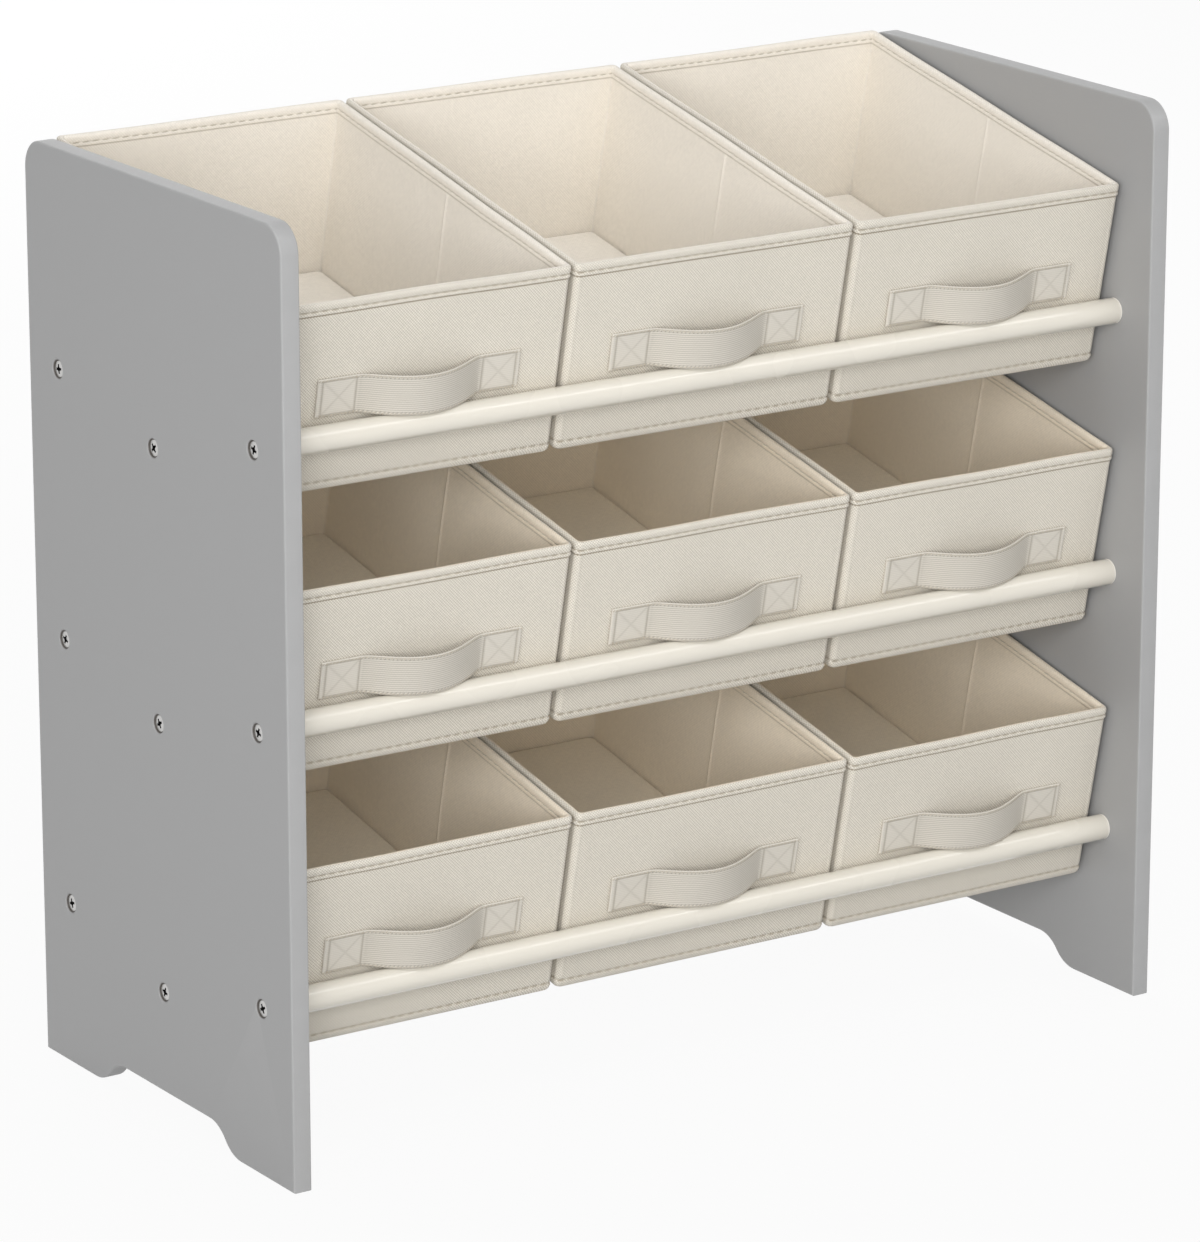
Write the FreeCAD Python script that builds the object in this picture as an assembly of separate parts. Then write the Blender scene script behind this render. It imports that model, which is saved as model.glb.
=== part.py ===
import FreeCAD, Part
import math
import os

from FreeCAD import Placement, Rotation, Vector

# Toy shelf unit, all lengths in mm: two side panels, nine rods in three tiers, nine fabric bins.
# +X runs to the right, +Y to the back, +Z up. The origin is on the floor, under the middle
# of the overall width and depth. The bins lie nose down and reach a little behind the panels.

# Overall sizes
unit_width = 625.0
panel_depth = 295.0
panel_height = 570.0

# Side panels: painted board, round top corners, an arch with curved ends between two feet
panel_thick = 12.0
panel_top_round = 18.0
panel_edge_break = 0.7
foot_length = 61.0
arch_curve_length = 36.0
arch_height = 16.3

# Rods: steel tubes, three to a tier. A bin lies on the middle and the back one,
# and the front one keeps it from sliding out.
rod_dia = 16.0
rod_wall = 1.2
end_rod_inset = 34.3
middle_rod_from_front = 148.5
end_rod_height = 103.0
middle_rod_height = 79.2
tier_pitch = 166.4

# Plastic plugs: they close the tube ends, and each has a square hole that its screw bites into
plug_flange = 1.2
plug_length = 24.0
plug_slack = 0.05
butt_gap = 0.05
plug_hole_slack = 0.06

# Countersunk screws, sunk a little below the face of the panel
screw_dia = 5.0
screw_head_dia = 10.0
screw_reach = 21.0
panel_bore_slack = 0.2
countersink_dia = 12.6
head_seat_gap = 0.07

# Fabric bins stiffened with board: the depth is taken over the rim band, the width is what the
# panels leave, and the height is what the rods above leave
bin_depth = 263.0
bin_side_gap = 2.5
bin_headroom = 27.5
bin_wall = 3.0
bin_floor = 3.0
bin_corner_round = 3.5
rim_band_height = 7.5
rim_band_proud = 0.6
rod_seat_gap = 0.3
front_rod_gap = 2.0

# Loose stiffening board that lies on the floor of each bin
board_thick = 5.0
board_side_gap = 0.8
board_seat_gap = 0.1

# Webbing handle on the front of each bin, sewn down at both ends and bulging in the middle
strap_length = 136.0
strap_free_span = 82.0
strap_height = 24.0
strap_thick = 1.6
strap_bulge = 16.0
strap_sewn_gap = 0.1
strap_rod_gap = 0.6

# How far a cutter runs past the face that it opens, and how near two places count as one
overrun = 1.0
same_place = 0.001

COLUMNS = ("left", "centre", "right")
TIERS = ("bottom", "middle", "top")
ACROSS = Vector(1, 0, 0)
UP = Vector(0, 0, 1)
START = Vector(0, 0, 0)

# Places that follow from the sizes
inner_half_width = unit_width / 2 - panel_thick
rod_radius = rod_dia / 2
screw_radius = screw_dia / 2
rod_rows = {
    "front": (end_rod_inset, end_rod_height),
    "middle": (middle_rod_from_front, middle_rod_height),
    "back": (panel_depth - end_rod_inset, end_rod_height),
}

# The slope of a bin is the line that touches its middle and back rods. Its own frame starts at
# the centre of the back rod, with Y up the slope to the back and Z square to the slope.
back_rod_y, back_rod_z = rod_rows["back"]
middle_rod_y, middle_rod_z = rod_rows["middle"]
tilt = math.atan2(back_rod_z - middle_rod_z, back_rod_y - middle_rod_y)
front_rod_below = (back_rod_y - rod_rows["front"][0]) * math.cos(tilt)
front_rod_above = (back_rod_y - rod_rows["front"][0]) * math.sin(tilt)

row_width = 2 * inner_half_width - bin_side_gap
bin_pitch = row_width / len(COLUMNS)
bin_width = bin_pitch - bin_side_gap
body_width = bin_width - 2 * rim_band_proud
body_depth = bin_depth - 2 * rim_band_proud
bin_front = -front_rod_below + rod_radius + front_rod_gap
bin_back = bin_front + body_depth
bin_underside = rod_radius + rod_seat_gap
bin_rim = tier_pitch * math.cos(tilt) - rod_radius - bin_headroom

# The bins' lower back edge reaches further back than the panels
back_reach = back_rod_y + bin_back * math.cos(tilt) - bin_underside * math.sin(tilt)
front_y = -back_reach / 2


def line(start, end):
    return Part.makeLine(start, end)


def arc(start, middle, end):
    return Part.Arc(start, middle, end).toShape()


def lathe(profile):
    """Solid of revolution about the X axis from (x, radius) points."""
    points = [Vector(x, radius, 0) for x, radius in profile]
    face = Part.Face(Part.makePolygon(points + points[:1]))
    return face.revolve(START, ACROSS, 360)


def block(inset, bottom, top):
    """Box over the bin's body, centred across X, its sides moved in by the inset."""
    return Part.makeBox(body_width - 2 * inset, body_depth - 2 * inset, top - bottom,
                        Vector(inset - body_width / 2, bin_front + inset, bottom))


def round_upright(solid, radius):
    upright = [edge for edge in solid.Edges if edge.BoundBox.ZLength > same_place]
    return solid.makeFillet(radius, upright)


def tier_height(tier):
    return TIERS.index(tier) * tier_pitch


def rod_centre(row, tier, x):
    from_front, height = rod_rows[row]
    return Vector(x, front_y + from_front, height + tier_height(tier))


def at_rod_end(solid, side, row, tier, inset):
    """Put a lathed solid on a rod's axis, its start on the panel's outer face plus the inset."""
    turn = Rotation(UP, 0 if side < 0 else 180)
    placed = solid.copy()
    placed.Placement = Placement(rod_centre(row, tier, side * (unit_width / 2 - inset)), turn)
    return placed


# Side panel
def arch_end(low, high):
    """Two equal arcs, level at both ends, from the foot's sole up to the arch's flat top."""
    run, rise = high.y - low.y, high.z - low.z
    radius = (run * run + rise * rise) / (4 * rise)
    turn = math.copysign(math.asin(abs(run) / (2 * radius)), run)
    middle = (low + high) / 2
    low_centre = low + UP * radius
    high_centre = high - UP * radius
    half_turn = Vector(0, math.sin(turn / 2), -math.cos(turn / 2)) * radius
    return [arc(low, low_centre + half_turn, middle), arc(middle, high_centre - half_turn, high)]


def panel_outline(x):
    front, back = front_y, front_y + panel_depth
    top, turned = panel_height, panel_top_round
    spread = turned * math.sqrt(2) / 2

    def at(y, z):
        return Vector(x, y, z)

    front_sole, back_sole = at(front + foot_length, 0), at(back - foot_length, 0)
    front_arch = front_sole + Vector(0, arch_curve_length, arch_height)
    back_arch = back_sole + Vector(0, -arch_curve_length, arch_height)
    edges = [line(at(front, 0), front_sole)] + arch_end(front_sole, front_arch)
    edges += [line(front_arch, back_arch)] + arch_end(back_sole, back_arch)
    edges += [
        line(back_sole, at(back, 0)),
        line(at(back, 0), at(back, top - turned)),
        arc(at(back, top - turned), at(back - turned + spread, top - turned + spread),
            at(back - turned, top)),
        line(at(back - turned, top), at(front + turned, top)),
        arc(at(front + turned, top), at(front + turned - spread, top - turned + spread),
            at(front, top - turned)),
        line(at(front, top - turned), at(front, 0)),
    ]
    return Part.Wire(Part.__sortEdges__(edges))


def screw_hole():
    bore = screw_radius + panel_bore_slack
    mouth = countersink_dia / 2 + overrun
    return lathe([(-overrun, 0), (-overrun, mouth), (mouth - overrun - bore, bore),
                  (panel_thick + overrun, bore), (panel_thick + overrun, 0)])


def side_panel(side):
    x = side * unit_width / 2
    board = Part.Face(panel_outline(x)).extrude(ACROSS * (-side * panel_thick))
    rim = [edge for edge in board.Edges if edge.BoundBox.XLength < same_place]
    board = board.makeChamfer(panel_edge_break, rim)
    holes = [at_rod_end(screw_hole(), side, row, tier, 0) for row in rod_rows for tier in TIERS]
    return board.cut(holes)


# Rods, plugs and screws
def rod(row, tier):
    start = inner_half_width - 2 * butt_gap - plug_flange
    bore = rod_radius - rod_wall
    tube = lathe([(-start, bore), (-start, rod_radius), (start, rod_radius), (start, bore)])
    tube.Placement = Placement(rod_centre(row, tier, 0), Rotation())
    return tube


def rod_plug():
    body = rod_radius - rod_wall - plug_slack
    plug = lathe([(0, 0), (0, rod_radius), (plug_flange, rod_radius), (plug_flange, body),
                  (plug_length, body), (plug_length, 0)])
    width = screw_dia + 2 * plug_hole_slack
    hole = Part.makeBox(plug_length + 2 * overrun, width, width,
                        Vector(-overrun, -width / 2, -width / 2))
    return plug.cut(hole)


head_depth = (countersink_dia - screw_head_dia) / 2 - head_seat_gap


def screw():
    head = screw_head_dia / 2
    end = panel_thick - head_depth + screw_reach
    return lathe([(0, 0), (0, head), (head - screw_radius, screw_radius),
                  (end, screw_radius), (end, 0)])


def rod_end_set(solid, side, inset):
    """One piece for every rod end on one side, as a group of separate solids."""
    return Part.makeCompound([at_rod_end(solid, side, row, tier, inset)
                              for row in rod_rows for tier in TIERS])


# Fabric bin, in the slope's own frame
def bin_shell():
    """Tub with soft upright corners outside, creased corners inside and a rim band outside."""
    body = round_upright(block(0, bin_underside, bin_rim), bin_corner_round)
    band = round_upright(block(-rim_band_proud, bin_rim - rim_band_height, bin_rim),
                         bin_corner_round + rim_band_proud)
    hollow = block(bin_wall, bin_underside + bin_floor, bin_rim + overrun)
    return body.fuse(band).cut(hollow).removeSplitter()


def bin_board():
    bottom = bin_underside + bin_floor + board_seat_gap
    return block(bin_wall + board_side_gap, bottom, bottom + board_thick)


def strap_outline(height):
    """Closed ribbon seen from above: flat ends, and a crest between two tangent arcs."""
    half_span, half_length = strap_free_span / 2, strap_length / 2
    radius = (half_span * half_span + strap_bulge * strap_bulge) / (4 * strap_bulge)
    turn = math.asin(half_span / (2 * radius))
    seat = strap_sewn_gap + strap_thick / 2

    def at(x, out):
        return Vector(x, bin_front - out, height)

    def around(centre_x, centre_out, reach, angle):
        return at(centre_x + reach * math.sin(angle), centre_out + reach * math.cos(angle))

    def face_edges(offset):
        """Edges from left to right along the strap, offset outward from its middle layer."""
        foot, rise = radius - offset, radius + offset
        foot_out, crest_out = seat + radius, seat + strap_bulge - radius
        flat = seat + offset
        left = around(-half_span, foot_out, -foot, -turn)
        right = around(half_span, foot_out, -foot, turn)
        return [
            line(at(-half_length, flat), at(-half_span, flat)),
            arc(at(-half_span, flat), around(-half_span, foot_out, -foot, -turn / 2), left),
            arc(left, around(0, crest_out, rise, 0), right),
            arc(right, around(half_span, foot_out, -foot, turn / 2), at(half_span, flat)),
            line(at(half_span, flat), at(half_length, flat)),
        ]

    wall_side, outer_side = face_edges(-strap_thick / 2), face_edges(strap_thick / 2)
    ends = [line(wall_side[-1].Vertexes[-1].Point, outer_side[-1].Vertexes[-1].Point),
            line(outer_side[0].Vertexes[0].Point, wall_side[0].Vertexes[0].Point)]
    return Part.Wire(wall_side + [ends[0]] + outer_side[::-1] + [ends[1]])


def bin_handle():
    foot = front_rod_above + rod_radius + strap_rod_gap
    return Part.Face(strap_outline(foot)).extrude(UP * strap_height)


def bin_placement(column, tier):
    x = (COLUMNS.index(column) - (len(COLUMNS) - 1) / 2) * bin_pitch
    return Placement(rod_centre("back", tier, x), Rotation(ACROSS, math.degrees(tilt)))


# Build every piece and write one file for each
pieces = {}
for name, side in (("left", -1), ("right", 1)):
    pieces["panel_" + name] = side_panel(side)
    pieces["rod_plugs_" + name] = rod_end_set(rod_plug(), side, panel_thick + butt_gap)
    pieces["screws_" + name] = rod_end_set(screw(), side, head_depth)
for tier in TIERS:
    for row in rod_rows:
        pieces["rod_" + tier + "_" + row] = rod(row, tier)

bin_pieces = {"shell": bin_shell(), "board": bin_board(), "handle": bin_handle()}
for tier in TIERS:
    for column in COLUMNS:
        for piece, solid in bin_pieces.items():
            placed = solid.copy()
            placed.Placement = bin_placement(column, tier)
            pieces["bin_" + tier + "_" + column + "_" + piece] = placed

os.makedirs("parts", exist_ok=True)
for name, shape in pieces.items():
    shape.exportStep("parts/" + name + ".step")

whole = Part.makeCompound(list(pieces.values())).optimalBoundingBox()
print(len(pieces), "pieces, overall", round(whole.XLength, 2), "x", round(whole.YLength, 2),
      "x", round(whole.ZLength, 2), "mm")
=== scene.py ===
import math
import random

import bmesh
import bpy
import numpy
from mathutils import Matrix, Vector


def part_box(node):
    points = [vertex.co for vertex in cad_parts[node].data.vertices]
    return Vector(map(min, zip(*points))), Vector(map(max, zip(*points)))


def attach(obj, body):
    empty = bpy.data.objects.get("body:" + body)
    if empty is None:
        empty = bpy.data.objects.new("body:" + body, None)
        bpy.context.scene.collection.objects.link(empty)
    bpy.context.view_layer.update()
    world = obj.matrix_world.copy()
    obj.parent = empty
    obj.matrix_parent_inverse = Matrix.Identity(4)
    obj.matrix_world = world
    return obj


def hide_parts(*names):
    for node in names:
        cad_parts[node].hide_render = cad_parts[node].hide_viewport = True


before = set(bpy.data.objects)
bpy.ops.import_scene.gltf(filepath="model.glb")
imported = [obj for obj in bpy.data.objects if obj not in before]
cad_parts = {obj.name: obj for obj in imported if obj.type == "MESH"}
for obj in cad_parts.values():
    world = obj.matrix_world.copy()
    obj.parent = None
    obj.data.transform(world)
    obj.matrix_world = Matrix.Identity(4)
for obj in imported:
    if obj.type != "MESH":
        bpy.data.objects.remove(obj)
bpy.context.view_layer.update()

# Side panels: two boards of fibreboard, sawn to one outline with an arch between the feet. Their
# edges are sanded round, the screw holes are countersunk from outside, and all is sprayed grey.
MM = 0.001
PANEL_THICK = 12.0
PANEL_TOP_ROUND = 18.0
SANDED_ROUND = 1.1
FLAT_MARGIN = 1.0
FOOT_LENGTH = 61.0
ARCH_CURVE_LENGTH = 36.0
ARCH_HEIGHT = 16.3
SCREW_BORE = 2.7
COUNTERSINK = 6.3
HOLE_SIDES = 40
CUT_PAST = 1.0
LIP_CURVE = ((-CUT_PAST, 0.25), (0.0, 0.2), (0.2, -0.05), (0.45, -0.45), (0.75, -0.75))
# The countersinks, where the paint is cut, are coloured near black: painted shade round the screw heads.
BARE_SHADE_FROM, BARE_SHADE_FADE = 0.3, 0.4
BARE_SHADE_RADIUS, BARE_SHADE_DEPTH = COUNTERSINK + 0.4, PANEL_THICK - 0.5
TIERS = ("bottom", "middle", "top")
RODS = [f"rod_{tier}_{row}" for tier in TIERS for row in ("front", "middle", "back")]
GREY_PAINT = (0.366, 0.366, 0.367, 1)
GREY_PAINT_THIN = (0.400, 0.400, 0.401, 1)
# Raw board darkened to near black, as painted shade in the gap round the screw heads.
RAW_BOARD_PAINTED_SHADE = (0.060, 0.052, 0.045, 1)


def by_node(operation, swapped=False):
    """A method that adds a Math node for the operation on a line and another value."""
    return lambda self, other: self.maths(operation, *((other, self) if swapped else (self, other)))


class Line:
    """One output of a node. Sums on it add Math nodes, so a pattern reads like a formula."""

    def __init__(self, tree, socket):
        self.tree, self.socket = tree, socket

    def maths(self, operation, *values):
        return self.tree.node("ShaderNodeMath", {"operation": operation}, dict(enumerate(values)))

    __add__, __radd__ = by_node("ADD"), by_node("ADD", swapped=True)
    __sub__, __rsub__ = by_node("SUBTRACT"), by_node("SUBTRACT", swapped=True)
    __mul__, __rmul__ = by_node("MULTIPLY"), by_node("MULTIPLY", swapped=True)
    __truediv__, __mod__, __lt__ = by_node("DIVIDE"), by_node("FLOORED_MODULO"), by_node("LESS_THAN")

    def floor(self):
        return self.maths("FLOOR", self)

    def hump(self):
        """A half wave over each whole step of the line: nought at the steps, one between."""
        return self.maths("SINE", (self % 1.0) * math.pi)


class Tree:
    """A node tree under construction. Its one method adds a node."""

    def __init__(self, tree):
        self.tree = tree

    def node(self, kind, settings={}, sockets={}, out=0):
        made = self.tree.nodes.new(kind)
        for name, value in settings.items():
            setattr(made, name, value)
        for name, value in sockets.items():
            if isinstance(value, Line):
                self.tree.links.new(value.socket, made.inputs[name])
            else:
                made.inputs[name].default_value = value
        return Line(self, made.outputs[out]) if made.outputs else made


class Finish(Tree):
    """A material: its colour, roughness and relief, worked out from lines."""

    def __init__(self, name):
        self.material = bpy.data.materials.new(name)
        self.material.use_nodes = True
        self.material.node_tree.nodes.clear()
        super().__init__(self.material.node_tree)

    def place(self, source):
        return Line(self, self.node("ShaderNodeTexCoord").socket.node.outputs[source])

    def attribute(self, name):
        return self.node("ShaderNodeAttribute", {"attribute_name": name}, out=2)

    def noise(self, scale, detail=2.0):
        place = self.place("Object")
        return self.node("ShaderNodeTexNoise", {}, {"Vector": place, "Scale": scale, "Detail": detail})

    def blend(self, share, first, second, how="MIX"):
        return self.node("ShaderNodeMix", {"data_type": "RGBA", "blend_type": how},
                         {0: share, 6: first, 7: second}, out=2)

    def shade(self, colour, factor):
        """The colour made lighter or darker by the factor."""
        grey = self.node("ShaderNodeCombineColor", {}, {0: factor, 1: factor, 2: factor})
        return self.blend(1.0, colour, grey, "MULTIPLY")

    def relief(self, height, depth, strength, **under):
        """A bump of that height, on top of another one where a normal is given."""
        return self.node("ShaderNodeBump", {},
                         {"Height": height, "Distance": depth, "Strength": strength, **under})

    def surface(self, **sockets):
        names = {key.replace("_", " "): value for key, value in sockets.items()}
        shader = self.node("ShaderNodeBsdfPrincipled", {}, names)
        self.node("ShaderNodeOutputMaterial", {}, {"Surface": shader})
        return self.material


def sprayed_paint():
    """Satin paint on sanded fibreboard: a fine orange peel, a little cloudy, thin on the edges,
    with raw board in the screw holes, coloured near black as painted shade round the screw heads."""
    paint = Finish("panel_paint")
    cloud, grain, peel = paint.noise(9.0, 3.0), paint.noise(700.0, 1.0), paint.noise(260.0)
    edge = paint.attribute("sanded")
    base = paint.blend(edge * paint.noise(60.0) * 0.9, GREY_PAINT, GREY_PAINT_THIN)
    # Near-black raw board in the countersinks: painted shade round the screw heads.
    base = paint.blend(paint.attribute("bare_shade"), base, RAW_BOARD_PAINTED_SHADE)
    colour = paint.shade(base, 0.975 + 0.03 * cloud + 0.02 * grain)
    return paint.surface(
        Base_Color=colour, Roughness=0.40 + 0.10 * cloud + 0.05 * grain, IOR=1.48,
        Normal=paint.relief(peel * 0.7 + grain * 0.3, 0.00006, 0.55))


def arc_points(centre, radius, start, end, steps):
    turns = [math.radians(start + (end - start) * step / steps) for step in range(steps + 1)]
    return [(centre[0] + radius * math.cos(turn), centre[1] + radius * math.sin(turn)) for turn in turns]


def quarter(radius, steps):
    """The way round an edge of that radius, as how far in and how far up each point lies."""
    turns = [math.radians(90 * step / steps) for step in range(steps + 1)]
    return [(radius * (1 - math.sin(a)), radius * (1 - math.cos(a))) for a in turns]


def arch_curve(sole, way):
    """Two equal arcs, level at both ends, from the end of a foot's sole up into the arch."""
    radius = (ARCH_CURVE_LENGTH ** 2 + ARCH_HEIGHT ** 2) / (4 * ARCH_HEIGHT)
    turn = math.degrees(math.asin(ARCH_CURVE_LENGTH / (2 * radius)))
    low = arc_points((0, radius), radius, -90, turn - 90, 9)
    high = arc_points((ARCH_CURVE_LENGTH, ARCH_HEIGHT - radius), radius, turn + 90, 90, 9)
    return [(sole + way * run, rise) for run, rise in low + high[1:]]


def panel_outline(front, back, top):
    radius = PANEL_TOP_ROUND
    return ([(front, 0)] + arch_curve(front + FOOT_LENGTH, 1)
            + arch_curve(back - FOOT_LENGTH, -1)[::-1] + [(back, 0)]
            + arc_points((back - radius, top - radius), radius, 0, 90, 16)
            + arc_points((front + radius, top - radius), radius, 90, 180, 16))


def moved_in(outline, inset):
    """The closed outline offset inwards."""
    moved = []
    for before, here, after in zip(outline[-1:] + outline[:-1], outline, outline[1:] + outline[:1]):
        first = Vector((here[1] - before[1], before[0] - here[0])).normalized()
        second = Vector((after[1] - here[1], here[0] - after[0])).normalized()
        moved.append(Vector(here) - (first + second) * inset / (1 + first.dot(second)))
    return moved


def turned(profile, steps, closed=False):
    """Mesh turned about the X axis from (x, radius) points, a nought radius being a pole."""
    shape = bmesh.new()
    rings = []
    for x, radius in profile:
        turns = [2 * math.pi * step / steps for step in range(steps if radius else 1)]
        rings.append([shape.verts.new((x, radius * math.cos(a), radius * math.sin(a))) for a in turns])
    for first, second in zip(rings, rings[1:] + (rings[:1] if closed else [])):
        for step in range(steps):
            after = (step + 1) % steps
            corners = [first[0]] if len(first) == 1 else [first[step], first[after]]
            corners += [second[0]] if len(second) == 1 else [second[after], second[step]]
            shape.faces.new(corners)
    bmesh.ops.recalc_face_normals(shape, faces=shape.faces)
    bmesh.ops.scale(shape, vec=(MM, MM, MM), verts=shape.verts)
    return shape


def lofted(shape, loops):
    """The shape closed through its loops of vertices, with a face over either end."""
    for first, second in zip(loops, loops[1:]):
        for here in range(len(first)):
            after = (here + 1) % len(first)
            shape.faces.new((first[here], first[after], second[after], second[here]))
    shape.faces.new(loops[0])
    shape.faces.new(loops[-1])
    bmesh.ops.recalc_face_normals(shape, faces=shape.faces)
    return shape


def as_mesh(name, shape):
    """The bmesh as a mesh. The bmesh itself is freed."""
    mesh = bpy.data.meshes.new(name)
    shape.to_mesh(mesh)
    shape.free()
    return mesh


def as_object(name, data):
    """An object for a mesh, a bmesh, a lamp or a camera."""
    data = as_mesh(name, data) if isinstance(data, bmesh.types.BMesh) else data
    data.name = name
    made = bpy.data.objects.new(name, data)
    bpy.context.scene.collection.objects.link(made)
    return made


def applied(piece):
    """The mesh of a piece with its modifiers applied. The piece itself goes."""
    settled = piece.evaluated_get(bpy.context.evaluated_depsgraph_get())
    mesh = bpy.data.meshes.new_from_object(settled)
    bpy.data.objects.remove(piece)
    return mesh


def cut(name, body, cutters):
    """The body with each cutter taken out of it, as a mesh."""
    body = as_object(name, body)
    tools = [as_object(name + "_cutter", cutter) for cutter in cutters]
    for tool in tools:
        taken = body.modifiers.new("cut", "BOOLEAN")
        taken.object, taken.operation, taken.solver = tool, "DIFFERENCE", "EXACT"
    mesh = applied(body)
    for tool in tools:
        bpy.data.objects.remove(tool)
    return mesh


def smooth(mesh, crease=40):
    mesh.shade_smooth()
    mesh.set_sharp_from_angle(angle=math.radians(crease))
    return mesh


def finished(name, mesh, material, slot, body, *nodes):
    """The piece with its finish, set on its body, with the nodes it stands for hidden. The slot is not used.
    """
    piece = as_object(name, mesh)
    piece.data.materials.clear()
    piece.data.materials.append(material)
    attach(piece, body)
    if nodes:
        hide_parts(*nodes)


def centre_of(node):
    low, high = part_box(node)
    return (low + high) / 2


def outer_face(name):
    """Which way a panel's outer face looks along the X axis, and its place there."""
    low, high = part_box("panel_" + name)
    return (-1, low.x) if name == "left" else (1, high.x)


def board(name):
    """The sanded board, before its holes: rings of the outline from one face to the other."""
    low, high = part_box("panel_" + name)
    side, outer = outer_face(name)
    outline = panel_outline(low.y / MM, high.y / MM, high.z / MM)
    half = [(0.0, SANDED_ROUND + FLAT_MARGIN, 0.0)]
    half += [(deep, inset, 1.0) for inset, deep in quarter(SANDED_ROUND, 5)]
    rings = half + [(PANEL_THICK - deep, inset, share) for deep, inset, share in half[::-1]]
    shape = bmesh.new()
    sanded = shape.verts.layers.float.new("sanded")
    loops = []
    for deep, inset, share in rings:
        x = outer - side * deep * MM
        loop = [shape.verts.new((x, y * MM, z * MM)) for y, z in moved_in(outline, inset)]
        for vert in loop:
            vert[sanded] = share
        loops.append(loop)
    return lofted(shape, loops)


def countersinks(side, outer):
    """Cutters for the nine screw holes: a soft lip, the cone and the bore."""
    profile = [(-CUT_PAST, 0)] + [(deep, COUNTERSINK + past) for deep, past in LIP_CURVE]
    profile += [(COUNTERSINK - SCREW_BORE, SCREW_BORE), (PANEL_THICK + CUT_PAST, SCREW_BORE),
                (PANEL_THICK + CUT_PAST, 0)]
    facing = Matrix.Rotation(0 if side < 0 else math.pi, 4, "Z")
    cutters = []
    for rod in RODS:
        centre = centre_of(rod)
        place = Matrix.Translation((outer, centre.y, centre.z))
        hole = turned(profile, HOLE_SIDES)
        bmesh.ops.transform(hole, verts=hole.verts, matrix=place @ facing)
        cutters.append(hole)
    return cutters


def mark_bare_shade(mesh, side, outer):
    """Where the countersinks have cut through the paint, from 0 at their lips to 1 inside. There the board is
    painted near black, as painted shade round the screw heads.
    """
    centres = [centre_of(rod) for rod in RODS]
    bare_shade = []
    for vertex in mesh.vertices:
        deep = side * (outer - vertex.co.x) / MM
        near = min(math.hypot(vertex.co.y - c.y, vertex.co.z - c.z) for c in centres) / MM
        within = near < BARE_SHADE_RADIUS and deep < BARE_SHADE_DEPTH
        bare_shade.append(max(0.0, min(1.0, (deep - BARE_SHADE_FROM) / BARE_SHADE_FADE)) if within else 0.0)
    mesh.attributes.new("bare_shade", "FLOAT", "POINT").data.foreach_set("value", bare_shade)


panel_paint = sprayed_paint()
for name in ("left", "right"):
    side, outer = outer_face(name)
    mesh = cut("panel", board(name), countersinks(side, outer))
    mark_bare_shade(mesh, side, outer)
    finished(f"side_panel_{name}", smooth(mesh, 30), panel_paint, "panel_paint", "frame", "panel_" + name)


# Rods: nine steel tubes, powder coated in glossy cream. Each is clamped between the panels by a
# screw at either end.
ROD_RADIUS = 8.0
ROD_WALL = 1.2
ROD_END_BREAK = 0.25
ROD_SIDES = 72
CREAM_COATING = (0.745, 0.707, 0.625, 1)


def powder_coating():
    """Glossy powder coating: a very fine orange peel under a clear top."""
    coating = Finish("rod_coating")
    peel, cloud = coating.noise(420.0, 1.0), coating.noise(14.0)
    colour = coating.shade(CREAM_COATING, 0.975 + 0.04 * cloud)
    return coating.surface(
        Base_Color=colour, Roughness=0.24 + 0.06 * cloud, Specular_IOR_Level=0.2,
        Coat_Weight=0.75, Coat_Roughness=0.08, Normal=coating.relief(peel, 0.00002, 0.2))


rod_coating = powder_coating()
for node in RODS:
    low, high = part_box(node)
    half = (high.x - low.x) / 2 / MM
    end = [(half - ROD_END_BREAK, ROD_RADIUS), (half, ROD_RADIUS - ROD_END_BREAK),
           (half, ROD_RADIUS - ROD_WALL)]
    tube = turned([(-x, radius) for x, radius in end[::-1]] + end, ROD_SIDES, closed=True)
    bmesh.ops.translate(tube, verts=tube.verts, vec=centre_of(node))
    mesh = smooth(as_mesh("tube", tube))
    finished(node + "_tube", mesh, rod_coating, "rod_coating", "frame", node)


# Rod plugs: moulded plastic stoppers pressed into the tube ends, with a thin flange that the
# panel bears on. The screw bites into the hole along their middle.
PLUG_SIDES = 56
PLUG_FLANGE = 1.2
FLANGE_CURVE = ((0.0, -0.4), (0.12, -0.12), (0.4, 0.0))
FLANGE_BREAK = 0.3
PLUG_LENGTH = 24.0
PLUG_LEAD, PLUG_TAPER = 1.2, 0.6
PLUG_SUNK = 0.05
PLUG_BODY = 6.75
PLUG_HOLE = 2.52
PLUG_COLOUR = (0.80, 0.765, 0.70, 1)


def moulded_plastic():
    plastic = Finish("plug_plastic")
    grain, cloud = plastic.noise(1500.0), plastic.noise(90.0)
    return plastic.surface(
        Base_Color=plastic.shade(PLUG_COLOUR, 0.96 + 0.06 * cloud), Roughness=0.46 + 0.10 * grain,
        Normal=plastic.relief(grain, 0.00003, 0.4))


def vector(tree, **parts):
    return tree.node("ShaderNodeCombineXYZ", {}, parts)


def chance(tree, least, most, seed):
    """A number between the limits, drawn for each point."""
    return tree.node("FunctionNodeRandomValue", {"data_type": "FLOAT"}, {2: least, 3: most, 8: seed}, out=1)


def run_nodes(holder, group, inputs):
    """The mesh that a Geometry Nodes tree makes of the holder's own, with the named inputs."""
    setting = holder.modifiers.new("nodes", "NODES")
    setting.node_group = group
    for item in group.interface.items_tree:
        if item.in_out == "INPUT" and item.name in inputs:
            setting[item.identifier] = inputs[item.name]
    return applied(holder)


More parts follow.
